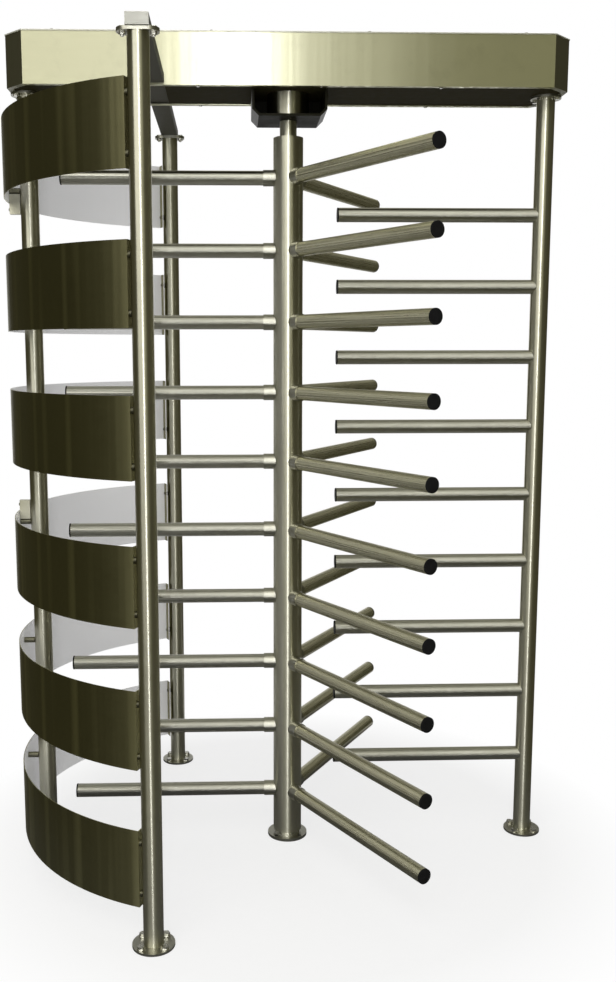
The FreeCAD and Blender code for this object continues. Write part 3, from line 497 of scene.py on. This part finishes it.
def dress_coats_and_painted_shade():
    black = painted("black_plastic", BLACK_PLASTIC, roughness=0.5, specular=DULL_SPECULAR)
    paint_nodes(black, "arm_caps", "comb_caps", "solenoids")
    # The cross beam is coloured dark as painted shade
    beam = painted("beam_painted_shade", BEAM_PAINTED_SHADE, roughness=0.5, specular=DULL_SPECULAR)
    paint_nodes(beam, "cross_beam")
    # The head's underside plates are coloured near-black as painted shade
    underside = painted("underside_painted_shade", UNDERSIDE_PAINTED_SHADE, roughness=0.7, specular=DULL_SPECULAR)
    paint_nodes(underside, "head_floor_left", "head_floor_right")
    inner_frame = painted("frame_paint", FRAME_PAINT, roughness=0.4)
    paint_nodes(inner_frame, "head_rails", "mount_plates", "mechanism_plate")
    case = painted("case_plastic", CASE_PLASTIC, roughness=0.5)
    paint_nodes(case, "control_box")


# The set around the object
def set_rays(tree):
    """Two sockets: 1 for camera rays, and 1 for the glossy and transmission rays that see the set."""
    path = tree.nodes.new("ShaderNodeLightPath")
    seen = math_node(tree, "MAXIMUM", path.outputs["Is Glossy Ray"], path.outputs["Is Transmission Ray"])
    return path.outputs["Is Camera Ray"], seen


def blended(tree, factor, first, second):
    node = tree.nodes.new("ShaderNodeMixShader")
    tree.links.new(factor, node.inputs["Fac"])
    tree.links.new(first, node.inputs[1])
    tree.links.new(second, node.inputs[2])
    return node.outputs["Shader"]


def floor_white(tree, place):
    """How white the floor is: it fades in with the radius, and metal mirrors it only behind."""
    radius = vector_node(tree, "LENGTH", place).outputs["Value"]
    fade = ranged(tree, radius, FLOOR_FADE)
    camera_fade = ranged(tree, fade, UNIT, (FLOOR_NEAR_WHITE, 1.0))
    far_side = ranged(tree, axis_part(tree, place, "Y"), FLOOR_BEHIND)
    behind = math_node(tree, "MULTIPLY", fade, far_side)
    camera, others = set_rays(tree)
    for_camera = math_node(tree, "MULTIPLY", camera, camera_fade)
    for_others = math_node(tree, "MULTIPLY", others, behind)
    return math_node(tree, "MAXIMUM", for_camera, for_others)


def floor_paint():
    material, tree, shader = new_material("floor_paint")
    place = coordinates(tree, "Object")
    pale = mixed(tree, noise(tree, place, FLOOR_SPOTS), *FLOOR_SHADES)
    glossy = tree.nodes.new("ShaderNodeLightPath").outputs["Is Glossy Ray"]
    dim = math_node(tree, "MULTIPLY", glossy, 1 - FLOOR_IN_METAL)
    tree.links.new(mixed(tree, dim, pale, (0, 0, 0)), shader.inputs["Base Color"])
    shader.inputs["Roughness"].default_value = FLOOR_ROUGHNESS
    amount = floor_white(tree, place)
    white = tree.nodes.new("ShaderNodeEmission")
    surface = blended(tree, amount, shader.outputs["BSDF"], white.outputs["Emission"])
    tree.links.new(surface, tree.nodes["Material Output"].inputs["Surface"])
    return material


def make_floor():
    """A round pale floor that fades to the background's white at its rim.

    Steel shows it dimmer, like the dark ground that the object's undersides mirror."""
    bpy.ops.mesh.primitive_circle_add(vertices=FLOOR_CORNERS, radius=FLOOR_R, fill_type="NGON",
                                      location=(0, 0, 0))
    floor = bpy.context.object
    floor.name = "floor"
    floor.data.materials.append(floor_paint())


def make_world():
    """White for the camera. Metal sees white behind the object, a pale ceiling and dim walls."""
    world = bpy.data.worlds.new("world")
    world.use_nodes = True
    bpy.context.scene.world = world
    tree = world.node_tree
    ambient = tree.nodes["Background"]
    ambient.inputs["Color"].default_value = (*WHITE, 1)
    ambient.inputs["Strength"].default_value = AMBIENT
    direction = coordinates(tree, "Generated")
    backdrop = ranged(tree, axis_part(tree, direction, "Y"), BACKDROP_EDGE)
    ceiling = ranged(tree, axis_part(tree, direction, "Z"), CEILING_EDGE)
    surroundings = mixed(tree, ceiling, ROOM, CEILING)
    reflected = tree.nodes.new("ShaderNodeBackground")
    tree.links.new(mixed(tree, backdrop, surroundings, WHITE), reflected.inputs["Color"])
    white = tree.nodes.new("ShaderNodeBackground")
    white.inputs["Color"].default_value = (*WHITE, 1)
    camera, others = set_rays(tree)
    inner = blended(tree, others, ambient.outputs["Background"], reflected.outputs["Background"])
    outer = blended(tree, camera, inner, white.outputs["Background"])
    tree.links.new(outer, tree.nodes["World Output"].inputs["Surface"])
    world.cycles.sampling_method = "NONE"


make_camera()
make_world()
make_lights()
make_floor()
dress_posts_and_bars()
dress_sheets()
dress_small_parts()
dress_coats_and_painted_shade()

bpy.context.scene.view_settings.view_transform = "Standard"
